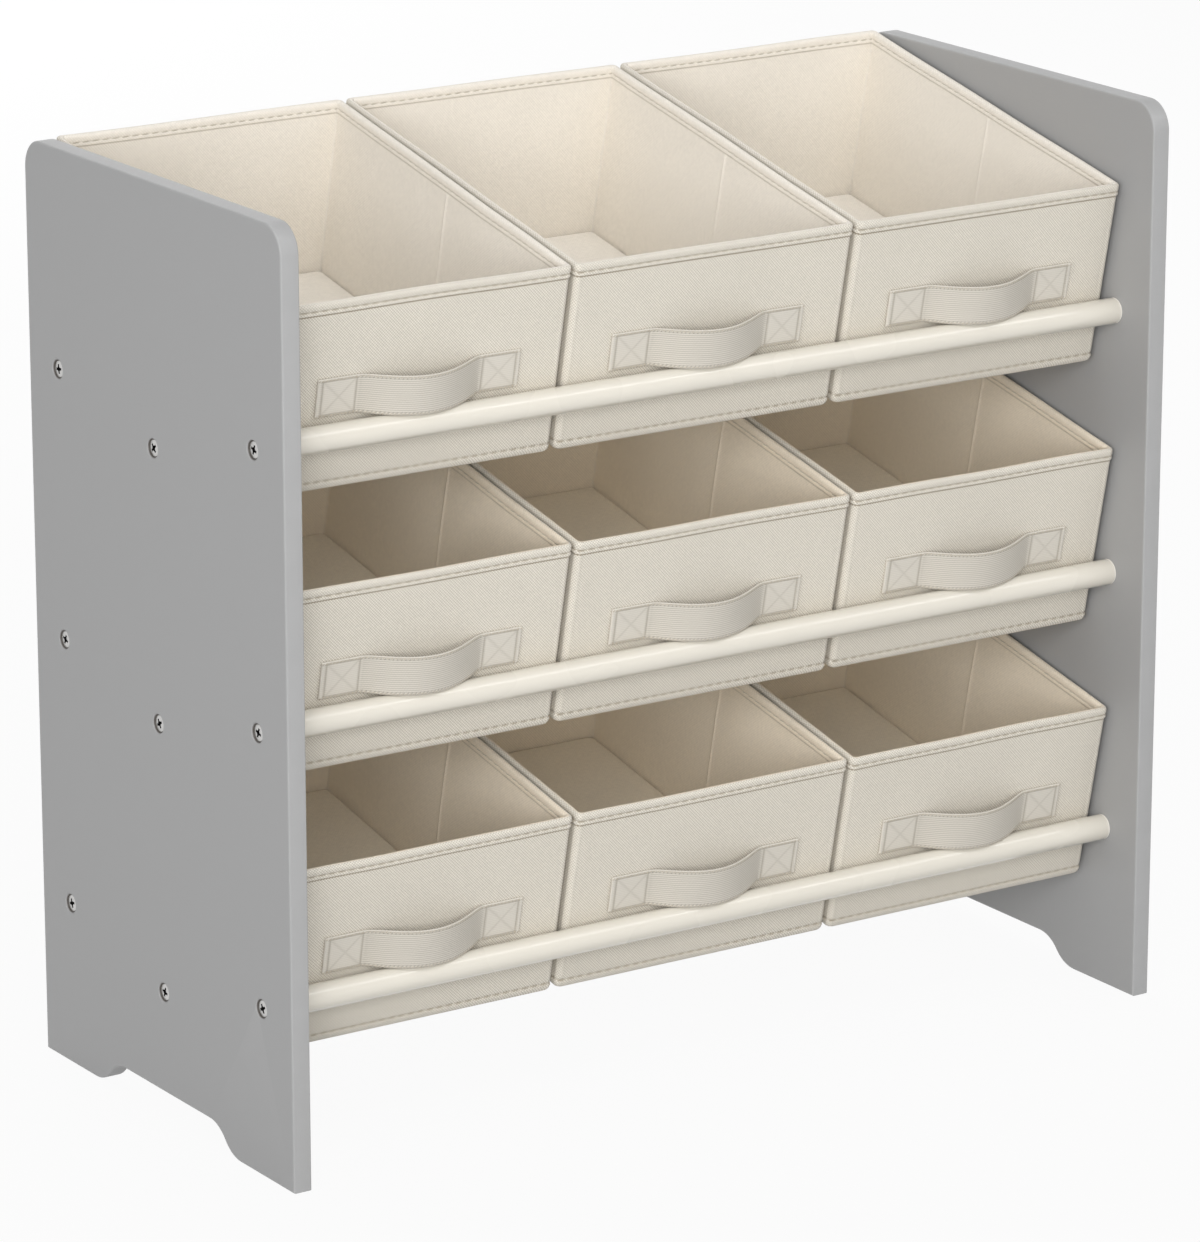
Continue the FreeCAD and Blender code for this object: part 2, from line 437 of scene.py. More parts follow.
def node_group(name, inputs):
    """An empty Geometry Nodes tree with one mesh in, one mesh out and the named inputs."""
    group = bpy.data.node_groups.new(name, "GeometryNodeTree")
    group.interface.new_socket("Geometry", in_out="INPUT", socket_type="NodeSocketGeometry")
    group.interface.new_socket("Geometry", in_out="OUTPUT", socket_type="NodeSocketGeometry")
    for label, kind in inputs.items():
        group.interface.new_socket(label, in_out="INPUT", socket_type="NodeSocket" + kind)
    tree = Tree(group)
    entry = group.nodes.new("NodeGroupInput")
    return group, tree, {socket.name: Line(tree, socket) for socket in entry.outputs if socket.name}


def close_group(group, tree, points, instance, turn, finish):
    """The last nodes of a tree: the instance on every point, as real meshes with their finish."""
    placed = tree.node("GeometryNodeInstanceOnPoints", {},
                       {"Points": points, "Instance": instance, "Rotation": turn})
    solid = tree.node("GeometryNodeRealizeInstances", {}, {"Geometry": placed})
    coated = tree.node("GeometryNodeSetMaterial", {}, {"Geometry": solid, "Material": finish})
    leave = group.nodes.new("NodeGroupOutput")
    group.links.new(coated.socket, leave.inputs[0])
    return group


def rod_end_group():
    """Puts one fitting on every point, turned about the rod's axis by chance within the limits."""
    group, tree, given = node_group("fittings_at_rod_ends", {
        "Fitting": "Object", "Facing": "Float", "Least turn": "Float", "Most turn": "Float",
        "Seed": "Int", "Finish": "Material"})
    fitting = tree.node("GeometryNodeObjectInfo", {}, {"Object": given["Fitting"]}, out=4)
    turn = chance(tree, given["Least turn"], given["Most turn"], given["Seed"])
    points = tree.node("GeometryNodeMeshToPoints", {}, {"Mesh": given["Geometry"]})
    pose = vector(tree, X=turn, Z=given["Facing"])
    return close_group(group, tree, points, fitting, pose, given["Finish"])


def at_rod_ends(fitting, name, inset, finish, least=0.0, most=0.0, seed=0):
    """The fitting at all nine rod ends of one side, inset from the panel's outer face, as one mesh."""
    side, outer = outer_face(name)
    points = bmesh.new()
    for rod in RODS:
        centre = centre_of(rod)
        points.verts.new((outer - side * inset * MM, centre.y, centre.z))
    return run_nodes(as_object("rod_ends", points), rod_ends, {
        "Fitting": fitting, "Facing": 0.0 if side < 0 else math.pi, "Least turn": least,
        "Most turn": most, "Seed": seed, "Finish": finish})


rod_ends = rod_end_group()
plug_plastic = moulded_plastic()
profile = [(0.0, PLUG_HOLE)] + [(deep, ROD_RADIUS + past) for deep, past in FLANGE_CURVE]
profile += [(PLUG_FLANGE - FLANGE_BREAK, ROD_RADIUS), (PLUG_FLANGE, ROD_RADIUS - ROD_END_BREAK),
            (PLUG_FLANGE, PLUG_BODY), (PLUG_LENGTH - PLUG_LEAD, PLUG_BODY),
            (PLUG_LENGTH, PLUG_BODY - PLUG_TAPER), (PLUG_LENGTH, PLUG_HOLE)]
plug = as_object("plug", turned(profile, PLUG_SIDES, closed=True))
for name in ("left", "right"):
    mesh = at_rod_ends(plug, name, PANEL_THICK + PLUG_SUNK, plug_plastic)
    finished(f"tube_plugs_{name}", smooth(mesh), plug_plastic, "plug_plastic", "frame", "rod_plugs_" + name)
bpy.data.objects.remove(plug)


# Screws: zinc plated countersunk screws with a cross recess, driven through the panels into the
# plugs. Their heads sit a little below the paint.
SCREW_SIDES = 40
HEAD_RADIUS = 4.9
HEAD_CROWN = ((-0.32, 0), (-0.30, 1.6), (-0.20, 3.2), (-0.02, 4.5), (0.08, 4.85))
HEAD_SUNK = 1.23
SHANK_RADIUS = 2.5
SCREW_LENGTH = 31.7
THREAD_START = 7.0
THREAD_PITCH = 1.6
THREAD_ROOT = 1.75
THREAD_VALLEY, THREAD_CREST = (0.35, 1.1), 1.45
POINT_LENGTH = 2.2
STEEL = (0.62, 0.615, 0.605, 1)
STEEL_DULL = (0.46, 0.455, 0.445, 1)
RECESS_SHADE = (0.02, 0.02, 0.02, 1)
RECESS_REACH = 3.1
RECESS_DEPTH = 3.3
RECESS_TAPER = ((-1.0, 3.3, 0.85), (1.3, 2.2, 0.62), (3.0, 0.75, 0.34))
RECESS_PIT = ((-1.0, 0), (-1.0, 1.9), (1.9, 0.85), (3.2, 0))


def plated_steel():
    """Zinc plating: bright, with a fine grain and dull patches."""
    steel = Finish("screw_steel")
    patch, fine = steel.noise(900.0, 3.0), steel.noise(4200.0, 1.0)
    sunk = steel.attribute("sunk")
    colour = steel.blend(sunk, steel.blend(patch * patch, STEEL, STEEL_DULL), RECESS_SHADE)
    return steel.surface(
        Base_Color=colour, Metallic=1.0, Roughness=0.30 + 0.16 * patch + 0.5 * sunk,
        Normal=steel.relief(fine * 0.6 + patch * 0.4, 0.00003, 0.5))


def recess_bar(turn):
    """One tapered bar of the cross recess, as a cutter."""
    shape = bmesh.new()
    loops = [[shape.verts.new((x * MM, across * long * MM, over * thick * MM))
              for across, over in ((-1, -1), (1, -1), (1, 1), (-1, 1))] for x, long, thick in RECESS_TAPER]
    lofted(shape, loops)
    bmesh.ops.rotate(shape, verts=shape.verts, matrix=Matrix.Rotation(turn, 3, "X"))
    return shape


def screw_body():
    profile = [*HEAD_CROWN, (0.22, HEAD_RADIUS), (0.42, HEAD_RADIUS - 0.3)]
    profile += [(HEAD_RADIUS - SHANK_RADIUS + 0.2, SHANK_RADIUS), (THREAD_START, SHANK_RADIUS)]
    for turn in range(int((SCREW_LENGTH - THREAD_START - 3) / THREAD_PITCH)):
        start = THREAD_START + turn * THREAD_PITCH
        profile += [(start + along, THREAD_ROOT) for along in THREAD_VALLEY]
        profile.append((start + THREAD_CREST, SHANK_RADIUS))
    profile += [(SCREW_LENGTH - POINT_LENGTH, THREAD_ROOT), (SCREW_LENGTH, 0)]
    return turned(profile, SCREW_SIDES)


screw_steel = plated_steel()
recess_cutters = [recess_bar(0.0), recess_bar(math.pi / 2), turned(RECESS_PIT, 16)]
screw = as_object("screw", cut("screw", screw_body(), recess_cutters))
recess = []
for face in screw.data.polygons:
    deep, off = face.center.x / MM, math.hypot(face.center.y, face.center.z) / MM
    steep = face.normal.x > -0.8 and off < RECESS_REACH
    recess += [float(deep < RECESS_DEPTH and (steep or 0.5 < deep and off < 1.0))] * len(face.vertices)
screw.data.attributes.new("sunk", "FLOAT", "CORNER").data.foreach_set("value", recess)
for seed, name in enumerate(("left", "right")):
    mesh = at_rod_ends(screw, name, HEAD_SUNK, screw_steel, least=0.1, most=1.5, seed=seed + 4)
    finished(f"panel_screws_{name}", smooth(mesh, 30), screw_steel, "screw_steel", "frame", "screws_" + name)
bpy.data.objects.remove(screw)


# Bin shells: tubs of cream twill glued over stiff board, closed round the rim by a folded binding
# and round the foot by a seam. Their side walls are creased so that the bin folds flat.
COLUMNS = ("left", "centre", "right")
BIN_PITCH = 199.5
BODY_WIDTH = 195.8
BIN_FRONT, BIN_BACK = -211.47, 50.33
BIN_UNDERSIDE = 8.3
BIN_HEIGHT = 118.98
BIN_WALL = 3.0
BIN_FLOOR = 3.0
CORNER_ROUND = 3.5
INNER_CORNER = 0.9
CORNER_STEPS = 6
STATION_PITCH = 3.3
FOLD_STEPS = (-2.2, -1.1, -0.45, 0.0, 0.45, 1.1, 2.2)
BOARD_EDGE = 1.6
BINDING_HEIGHT = 7.5
BINDING_PROUD = 0.6
RIM_SEAM_DOWN = 5.0
FOOT_SEAM_UP = 5.8
FOOT_ROLL = 3.4
# In these groove and binding-edge rows, the mark is how much painted shade the cloth gets there.
FOOT_GROOVE = ((-0.25, -1.6, 0.0, 0), (-0.05, -0.7, 0.1, 0), (0.50, -0.2, 0.4, 0), (0.52, 0.25, 0.4, 0),
               (0.12, 0.8, 0.2, 0.05), (0.0, 1.8, 0, 0.1))
RIM_GROOVE = ((-0.68, -1.0, 0.0), (-0.46, -0.45, 0.2), (-0.12, -0.1, 0.4), (-0.12, 0.2, 0.4),
              (-0.46, 0.6, 0.2), (-0.68, 1.2, 0.0))
BINDING_EDGE = ((0.0, -1.1, 0.0), (0.10, -0.45, 0.7), (0.14, 0.0, 1.0), (-0.50, 0.06, 1.0),
                (-0.66, 0.45, 0.0))
BOW_FRONT, BOW_SIDE = 0.35, 1.1
MOST_BULGE = 0.4
WAVE_HEIGHT, WAVE_LENGTH = 0.55, 85.0
RIM_WAVE_HEIGHT, RIM_WAVE_LENGTH = 0.45, 120.0
EDGE_DENT, CREASE_DENT, CREASE_WIDTH = 0.13, 0.55, 0.9
SEAM_PITCH = 6.7
TWILL_THREAD = 0.48
FABRIC = (0.905, 0.870, 0.790, 1)
FABRIC_SHADE = (0.360, 0.305, 0.225, 1)
FABRIC_LINING = (0.925, 0.875, 0.795, 1)
# Lining of the bins in the two lower tiers, painted warmer as painted warm shade.
FABRIC_LINING_WARM_SHADE = (0.950, 0.850, 0.700, 1)


def twill(across, along):
    """Height of a twill: its threads, and the slanting ribs that their floats form, which a
    weaker slant the other way breaks into dots."""
    warp, weft = across / (TWILL_THREAD * MM), along / (TWILL_THREAD * MM)
    warp_up = ((warp.floor() + weft.floor()) % 4.0) < 1.5
    threads = warp_up * warp.hump() + (1.0 - warp_up) * weft.hump()
    ribs, breaks = ((warp + weft) / 4.0).hump(), ((warp - weft) / 4.0).hump()
    return 0.28 * threads + 0.42 * ribs + 0.30 * breaks


def cloth_axes(finish):
    """The cloth's own two lengths, from its UV map."""
    axes = finish.node("ShaderNodeSeparateXYZ", {}, {"Vector": finish.place("UV")})
    return axes, Line(finish, axes.socket.node.outputs["Y"])


def bin_cloth(name, light, dark, lining, lining_warm_shade):
    """Twill in its own threads, a little cloudy, with painted shade between threads, down in the
    seams and under the binding's fold. Its other side, the lining, is lighter, and in the two
    lower tiers it is painted warmer, as painted warm shade."""
    cloth = Finish(name)
    across, along = cloth_axes(cloth)
    height = twill(across, along)
    seam = cloth.attribute("seam")
    between = (across / (seam_pitch * MM)).hump()
    held = 1.0 - 0.85 * between * between * between
    cloud, slub = cloth.noise(22.0, 3.0), cloth.noise(480.0, 3.0)
    within = cloth.attribute("lining")
    side = cloth.blend(cloth.attribute("low"), cloth.blend(within, light, lining), lining_warm_shade)
    # Painted shade: darker between threads, under the binding's fold and in the seam grooves, most at each
    # stitch.
    weave_shade = (1.05 - 0.70 * within) * (1.0 - height)
    with_painted_shade = cloth.blend(weave_shade + 0.85 * cloth.attribute("fold") + 1.15 * seam * held, side, dark)
    colour = cloth.shade(with_painted_shade, 0.87 + 0.05 * cloud + 0.19 * slub)
    weave = cloth.relief(height + 0.4 * slub, 0.00016, 0.7)
    ease = cloth.relief(between * seam + 0.6 * cloth.noise(130.0), 0.00025, 0.5, Normal=weave)
    return cloth.surface(
        Base_Color=colour, Roughness=0.86 + 0.08 * slub, Specular_IOR_Level=0.25,
        Sheen_Weight=0.12, Sheen_Roughness=0.5, Normal=ease)


def spaced(half, folds):
    """Shares from -1 to 1 along a straight side of that half length, closer beside each fold."""
    even = numpy.linspace(-half, half, round(2 * half / STATION_PITCH) + 1)
    clear = STATION_PITCH + 0.1
    kept = [place for place in even if abs(place) == half or all(abs(place - fold) > clear for fold in folds)]
    near = [fold + step for fold in folds for step in FOLD_STEPS]
    return [place / half for place in sorted(kept + near)]


def stations(half_width, half_depth, corner, width_folds=(), depth_folds=()):
    """Places round a bin seen from above, from the front left corner: side, share, corner turn."""
    found = []
    for side in range(4):
        half, folds = ((half_width, width_folds), (half_depth, depth_folds))[side % 2]
        found += [(side, share, 0.0) for share in spaced(half - corner, folds)]
        found += [(side, 1.0, step * math.pi / 2 / CORNER_STEPS) for step in range(1, CORNER_STEPS)]
    return found


def ring(places, half_width, half_depth, inset, corner):
    """Points and outward ways round a rectangle with round corners, moved in by the inset."""
    points, ways = [], []
    for side, share, turn in places:
        along = Vector(((1, 0), (0, 1), (-1, 0), (0, -1))[side])
        out = Vector((along.y, -along.x))
        length, reach = (half_width, half_depth) if side % 2 == 0 else (half_depth, half_width)
        centre = out * (reach - inset - corner) + along * share * (length - inset - corner)
        way = out * math.cos(turn) + along * math.sin(turn)
        points.append(centre + way * corner)
        ways.append(way)
    return numpy.array(points), numpy.array(ways)


def lengths_of(points):
    """Length of the line through the points from the first one to each."""
    found = [0.0]
    for first, second in zip(points, points[1:]):
        found.append(found[-1] + math.dist(first, second))
    return found


def net(rows, count, flipped=False):
    """Faces over rings of points and over both ends, as (row, place round the ring) corners. The
    place after a ring's last one is its first again, one whole round on."""
    steps = ((0, 0), (1, 0), (1, 1), (0, 1)) if flipped else ((0, 0), (0, 1), (1, 1), (1, 0))
    walls = [[(row + up, here + on) for up, on in steps] for row in range(rows - 1) for here in range(count)]
    first, last = ([(row, here) for here in range(count)] for row in (0, rows - 1))
    return walls + ([first, last[::-1]] if flipped else [first[::-1], last])


def woven(vertices, count, faces, spread, marks):
    """Mesh of cloth, with the cloth's own lengths as its UV map and its marks as attributes."""
    mesh = bpy.data.meshes.new("cloth")
    mesh.from_pydata((numpy.array(vertices) * MM).tolist(), [],
                     [[row * count + here % count for row, here in face] for face in faces])
    mesh.uv_layers.new(name="cloth").data.foreach_set("uv", (numpy.array(spread) * MM).ravel())
    for name, values in marks.items():
        mesh.attributes.new(name, "FLOAT", "POINT").data.foreach_set("value", values)
    return mesh


def closed_tub(rings, around, rows, marks):
    """Mesh of closed rings from the middle of the underside round to the middle of the floor, with
    one mark to a ring. The rows give the cloth's way up, and level faces are mapped from above."""
    count = len(rings[0])
    lengths, climbs = lengths_of([*around, around[0]]), lengths_of([row[:2] for row in rows])
    faces, spread = net(len(rings), count), []
    for face in faces:
        level = all(rows[row][3] for row, _ in face)
        spread += [rings[row][here % count][:2] if level else (lengths[here], climbs[row])
                   for row, here in face]
    each = {name: numpy.repeat(numpy.array(values, float), count) for name, values in marks.items()}
    return woven(numpy.concatenate(rings), count, faces, spread, each)


def wall_rows(inset, corner, first, last, count):
    """Rows up or down a wall, which follow its waves more the further they are from the foot."""
    return [(inset, climb, corner, False, 0, min(1.0, (climb - FOOT_SEAM_UP) / 30))
            for climb in numpy.linspace(first, last, count)]


def shell_rows():
    """The cloth's way over the shell: inset, height, corner round, level, seam, and how much of
    the wall's own waves it follows."""
    edge, rim_seam, foot_seam = BIN_HEIGHT - BINDING_HEIGHT, BIN_HEIGHT - RIM_SEAM_DOWN, FOOT_SEAM_UP
    outer, bound, inner = CORNER_ROUND, CORNER_ROUND + BINDING_PROUD, INNER_CORNER
    rows = [(inset, 0.0, outer, True, 0, 0) for inset in (70.0, 30.0, 9.0)]
    rows += [(inset, climb, outer, climb == 0, 0, 0) for inset, climb in quarter(FOOT_ROLL, 5)]
    rows += [(inset, foot_seam + up, outer, False, mark, loose) for inset, up, mark, loose in FOOT_GROOVE]
    rows += wall_rows(0.0, outer, foot_seam + 6, edge - 4.5, 21)
    rows += [(inset, edge + up, outer - min(inset, 0), False, mark, 1.0) for inset, up, mark in BINDING_EDGE]
    rows += [(inset, rim_seam + up, bound, False, mark, 1.0) for inset, up, mark in RIM_GROOVE]
    inner_face = BIN_WALL + 0.4
    middle, radius = (inner_face - BINDING_PROUD) / 2, (inner_face + BINDING_PROUD) / 2
    for turn in range(9):
        a, share = turn * math.pi / 8, turn / 8
        rows.append((middle - radius * math.cos(a), BIN_HEIGHT - radius * (1 - math.sin(a)),
                     bound * (1 - share) + inner * share, False, 0, 1.0))
    rows += [(BIN_WALL - 0.6 * inset, rim_seam + up, inner, False, 0.6 * mark, 1.0)
             for inset, up, mark in RIM_GROOVE[::-1]]
    rows += [(BIN_WALL - 0.5 * min(inset, 0), edge + up, inner, False, 0.5 * mark, 1.0)
             for inset, up, mark in BINDING_EDGE[::-1]]
    rows += wall_rows(BIN_WALL, inner, edge - 5, BIN_FLOOR + 9, 20)
    rows += [(BIN_WALL, BIN_FLOOR + up, inner, False, 0, 0) for up in (4, 0.5)]
    rows += [(inset, BIN_FLOOR, inner, True, 0, 0) for inset in (BIN_WALL + 0.6, 12.0, 40.0, 75.0)]
    return rows


def waves(count, scale, seed):
    """A few sine waves in three directions with phases drawn from the seed."""
    draw = random.Random(seed)
    found = []
    for _ in range(count):
        way = Vector((draw.uniform(-1, 1), draw.uniform(-1, 1), draw.uniform(-0.8, 0.8))).normalized()
        length = scale * draw.uniform(0.75, 1.5)
        found.append((numpy.array(way) * 2 * math.pi / length, draw.uniform(0, 6.28)))
    return lambda points: sum(numpy.sin(points @ way + phase) for way, phase in found) / count


BIN_MIDDLE = (BIN_FRONT + BIN_BACK) / 2
half_width, half_depth = BODY_WIDTH / 2, (BIN_BACK - BIN_FRONT) / 2
edge_folds = (half_width - BOARD_EDGE - CORNER_ROUND, half_depth - BOARD_EDGE - CORNER_ROUND)
round_bin = stations(half_width, half_depth, CORNER_ROUND, (-edge_folds[0], edge_folds[0]),
                     (-edge_folds[1], 0.0, edge_folds[1]))
bin_rows = shell_rows()


def shell_rings(seed):
    """The rows of one bin, with the waves, folds and bowed walls of its cloth."""
    wave, rim_wave = waves(5, WAVE_LENGTH, seed), waves(4, RIM_WAVE_LENGTH, seed + 50)
    share = numpy.array([share for _, share, _ in round_bin])
    straight = numpy.array([not turn for _, _, turn in round_bin])
    on_side = numpy.array([side % 2 == 1 for side, _, _ in round_bin])
    slack = straight * (1 - share ** 4)
    rings = []
    for inset, climb, corner, level, _, loose in bin_rows:
        points, ways = ring(round_bin, half_width, half_depth, inset, corner)
        solid = numpy.column_stack((points, numpy.full(len(points), climb)))
        bow = numpy.where(on_side, BOW_SIDE, BOW_FRONT)
        bow *= math.sin(math.pi * min(1.0, climb / BIN_HEIGHT)) ** 0.7
        out = numpy.minimum(slack * loose * (WAVE_HEIGHT * wave(solid) - bow), MOST_BULGE)
        if 3.0 < climb < BIN_HEIGHT - BINDING_HEIGHT - 1 and not level:
            across = share * (numpy.where(on_side, half_depth, half_width) - corner)
            board_edge = numpy.where(on_side, edge_folds[1], edge_folds[0])
            dents = EDGE_DENT * numpy.exp(-numpy.minimum(abs(abs(across) - board_edge), 9) ** 2)
            dents += on_side * CREASE_DENT * numpy.exp(-(across / CREASE_WIDTH) ** 2)
            out -= straight * dents
        solid[:, :2] += ways * out[:, None]
        solid[:, 2] += RIM_WAVE_HEIGHT * rim_wave(solid) * max(0.0, (climb - 70) / 50) ** 2
        rings.append(solid + (0, BIN_MIDDLE, BIN_UNDERSIDE))
    return rings


def slope_frame(tier, column):
    """The bin's own frame: the centre of its back rod, Y up the slope, Z square to the slope."""
    back, middle = centre_of(f"rod_{tier}_back"), centre_of(f"rod_{tier}_middle")
    tilt = math.atan2(back.z - middle.z, back.y - middle.y)
    x = (COLUMNS.index(column) - 1) * BIN_PITCH * MM
    return Matrix.Translation((x, back.y, back.z)) @ Matrix.Rotation(tilt, 4, "X")


def in_bin(tier, column, kind, mesh, material, slot, *parts):
    """Sets a mesh made in the bin's own frame in its place, as a piece that stands for the parts."""
    body = f"bin_{tier}_{column}"
    mesh.transform(slope_frame(tier, column))
    mesh.shade_smooth()
    finished(f"{body}_{kind}", mesh, material, slot, body, *(f"{body}_{part}" for part in parts))


bins = [(tier, column) for tier in TIERS for column in COLUMNS]
outline_points, outline_ways = ring(round_bin, half_width, half_depth, 0.0, CORNER_ROUND)
girth = lengths_of([*outline_points, outline_points[0]])[-1]
seam_pitch = girth / round(girth / SEAM_PITCH)
bin_fabric = bin_cloth("bin_fabric", FABRIC, FABRIC_SHADE, FABRIC_LINING, FABRIC_LINING_WARM_SHADE)
rim_seam = BIN_HEIGHT - RIM_SEAM_DOWN
sewn_rows = [min(range(len(bin_rows)), key=lambda here: math.dist(bin_rows[here][:2], spot))
             for spot in ((0.5, FOOT_SEAM_UP), (0.0, rim_seam), (BIN_WALL, rim_seam))]
# The fold and seam marks carry painted shade: a dark line under the binding's fold and along the seams.
folded = [abs(row[1] - BIN_HEIGHT + BINDING_HEIGHT) < 1.2 for row in bin_rows]
shell_marks = {"lining": [row[0] > 1 and row[1] > 0 for row in bin_rows],
               "fold": [row[4] * fold for row, fold in zip(bin_rows, folded)],
               "seam": [row[4] * (not fold) for row, fold in zip(bin_rows, folded)]}
shell_seams = {}
for seed, (tier, column) in enumerate(bins):
    rings = shell_rings(seed + 1)
    # In the two lower tiers the lining is painted warmer: painted warm shade inside the bins.
    marks = {**shell_marks, "low": [mark * (tier != "top") for mark in shell_marks["lining"]]}
    mesh = closed_tub(rings, outline_points, bin_rows, marks)
    in_bin(tier, column, "tub", mesh, bin_fabric, "bin_fabric", "shell")
    shell_seams[tier, column] = [rings[here] for here in sewn_rows]


# Bin boards: a loose stiff board in the same cloth lies on the floor of each bin and keeps it
# open. It can be lifted out.
BOARD_GAP = 3.8
BOARD_UP = 3.1
BOARD_THICK = 5.0
BOARD_ROUND = 2.2
BOARD_CORNER = 3.0
BOARD_CLOTH = (0.960, 0.925, 0.865, 1)
# Board cloth in the two lower tiers, painted warmer as painted warm shade.
BOARD_CLOTH_WARM_SHADE = (0.965, 0.880, 0.740, 1)
BOARD_CLOTH_SHADE = (0.620, 0.560, 0.460, 1)


def board_rings():
    """The board's rows, as inset, height, corner round and level, and its rings of points."""
    half = [(50.0, 0.0, BOARD_CORNER, True), (12.0, 0.0, BOARD_CORNER, True)]
    half += [(inset, climb, BOARD_CORNER, climb == 0) for inset, climb in quarter(BOARD_ROUND, 4)]
    rows = half + [(inset, BOARD_THICK - climb, *rest) for inset, climb, *rest in half[::-1]]
    board_width, board_depth = half_width - BOARD_GAP, half_depth - BOARD_GAP
    around = stations(board_width, board_depth, BOARD_CORNER)
    rings = []
    for inset, climb, corner, _ in rows:
        points, _ = ring(around, board_width, board_depth, inset, corner)
        solid = numpy.column_stack((points, numpy.full(len(points), climb)))
        rings.append(solid + (0, BIN_MIDDLE, BIN_UNDERSIDE + BOARD_UP))
    return rows, rings


board_cover = bin_cloth("board_cover", BOARD_CLOTH, BOARD_CLOTH_SHADE, BOARD_CLOTH, BOARD_CLOTH_WARM_SHADE)
rows, rings = board_rings()
for tier, column in bins:
    # In the two lower tiers the board is painted warmer: painted warm shade inside the bins.
    marks = {"lining": [1.0] * len(rows), "low": [tier != "top"] * len(rows)}
    mesh = closed_tub(rings, rings[0][:, :2], rows, marks)
    in_bin(tier, column, "floor_board", mesh, board_cover, "board_cover", "board")


# Bin handles: a length of ribbed webbing on the front of each bin, sewn down at both ends with a
# crossed box and left slack between, so that it bulges forward over the front rod.
STRAP_LENGTH = 136.0
STRAP_SPAN = 82.0
STRAP_HEIGHT = 24.0
STRAP_THICK = 1.5
STRAP_SEAT = 0.9
STRAP_FOOT = 55.58
STRAP_BULGE_LOW, STRAP_BULGE_HIGH = 16.9, 15.1
STRAP_SET_OFF = 1.5
STRAP_PROBE = 0.05
STRAP_TURN_UNDER = 0.75
NEEDLE_DIP = 0.20
NEEDLE_BAND = (0.8, 1.8)
PRESSED_WIDTH = 0.6
WHIP_PITCH = 2.4
RIB_PITCH = 1.25
BOX_MARGIN_END, BOX_MARGIN_EDGE = 3.0, 1.3
WEBBING = (0.690, 0.655, 0.589, 1)
WEBBING_SHADE = (0.230, 0.200, 0.155, 1)


def webbing():
    """Ribs along the strap, crossed by fine weft threads, with painted shade between the ribs, deeper
    where the strap hangs slack, and in its needle holes and stitch dents.
    """
    tape = Finish("strap_webbing")
    along, across = cloth_axes(tape)
    rib = (across / (RIB_PITCH * MM)).hump()
    row = (across / (RIB_PITCH * MM)).floor()
    tick = (along / (0.9 * MM) + row * 0.5).hump()
    height = rib * (0.6 + 0.4 * tick)
    cloud, slub = tape.noise(30.0), tape.noise(1100.0)
    # Painted shade between the ribs, deeper where the strap hangs slack, and in the needle holes and stitch
    # dents.
    rib_shade = (0.16 + 0.42 * tape.attribute("slack")) * (1.0 - height)
    with_painted_shade = tape.blend(rib_shade + 0.55 * tape.attribute("seam"), WEBBING, WEBBING_SHADE)
    colour = tape.shade(with_painted_shade, 0.96 + 0.05 * cloud + 0.03 * slub)
    return tape.surface(
        Base_Color=colour, Roughness=0.80 + 0.10 * slub, Specular_IOR_Level=0.28, Sheen_Weight=0.12,
        Sheen_Roughness=0.45, Normal=tape.relief(height + 0.3 * slub, 0.00016, 0.6))


def strap_out(x, share):
    """How far the strap's middle layer stands off the wall, at a share of its height. Its lower
    edge stands off fuller than its upper one, and both leave the wall softly."""
    bulge = STRAP_BULGE_LOW + (STRAP_BULGE_HIGH - STRAP_BULGE_LOW) * share
    lift = bulge * max(0.0, 1 - (2 * x / STRAP_SPAN) ** 2) ** (1.05 + 0.25 * share)
    return STRAP_SEAT + lift * lift / (lift + STRAP_SET_OFF)


def off_strap(x, across, reach):
    """The point that far off the strap's middle layer, and the way outward there."""
    share = across / STRAP_HEIGHT
    ahead, behind = strap_out(x + STRAP_PROBE, share), strap_out(x - STRAP_PROBE, share)
    way = Vector((behind - ahead, 2 * STRAP_PROBE)).normalized()
    point = (x + way.x * reach, BIN_FRONT - strap_out(x, share) - way.y * reach, STRAP_FOOT + across)
    return point, Vector((way.x, -way.y, 0))


def box_seams():
    """The crossed boxes that hold the strap's ends, as (x, height) lines and how deep each is."""
    seams = []
    inner, outer = STRAP_SPAN / 2 + 1.5, STRAP_LENGTH / 2 - BOX_MARGIN_END
    low, high = BOX_MARGIN_EDGE, STRAP_HEIGHT - BOX_MARGIN_EDGE
    for side in (-1, 1):
        ends = ((inner, low), (outer, low), (outer, high), (inner, high))
        corners = [Vector((side * x, height)) for x, height in ends]
        seams += [(corners + corners[:1], 1.0), (corners[0::2], 0.35), (corners[1::2], 0.35)]
    return seams


def drawn_in(x, height, seams):
    """How far the stitches draw the strap in at a point, from nought to one on the box's line."""
    most = 0.0
    point = Vector((x, height))
    for seam, deep in seams:
        for start, end in zip(seam, seam[1:]):
            share = max(0.0, min(1.0, (point - start).dot(end - start) / (end - start).length_squared))
            most = max(most, deep * math.exp(-((point - start.lerp(end, share)).length / PRESSED_WIDTH) ** 2))
    return most


def strap_section():
    """Points round the strap's section: across, out from its middle, and whether on its face."""
    half, flat = STRAP_THICK / 2, STRAP_HEIGHT - STRAP_THICK
    bend = [(half * math.sin(a), half * math.cos(a)) for a in (math.pi / 4, math.pi / 2, 3 * math.pi / 4)]
    face = [(half + flat * step / 28, half, True) for step in range(29)]
    back = [(half + flat * step / 10, -half, False) for step in range(10, -1, -1)]
    return (face + [(half + flat + across, out, False) for across, out in bend]
            + back + [(half - across, -out, False) for across, out in bend])


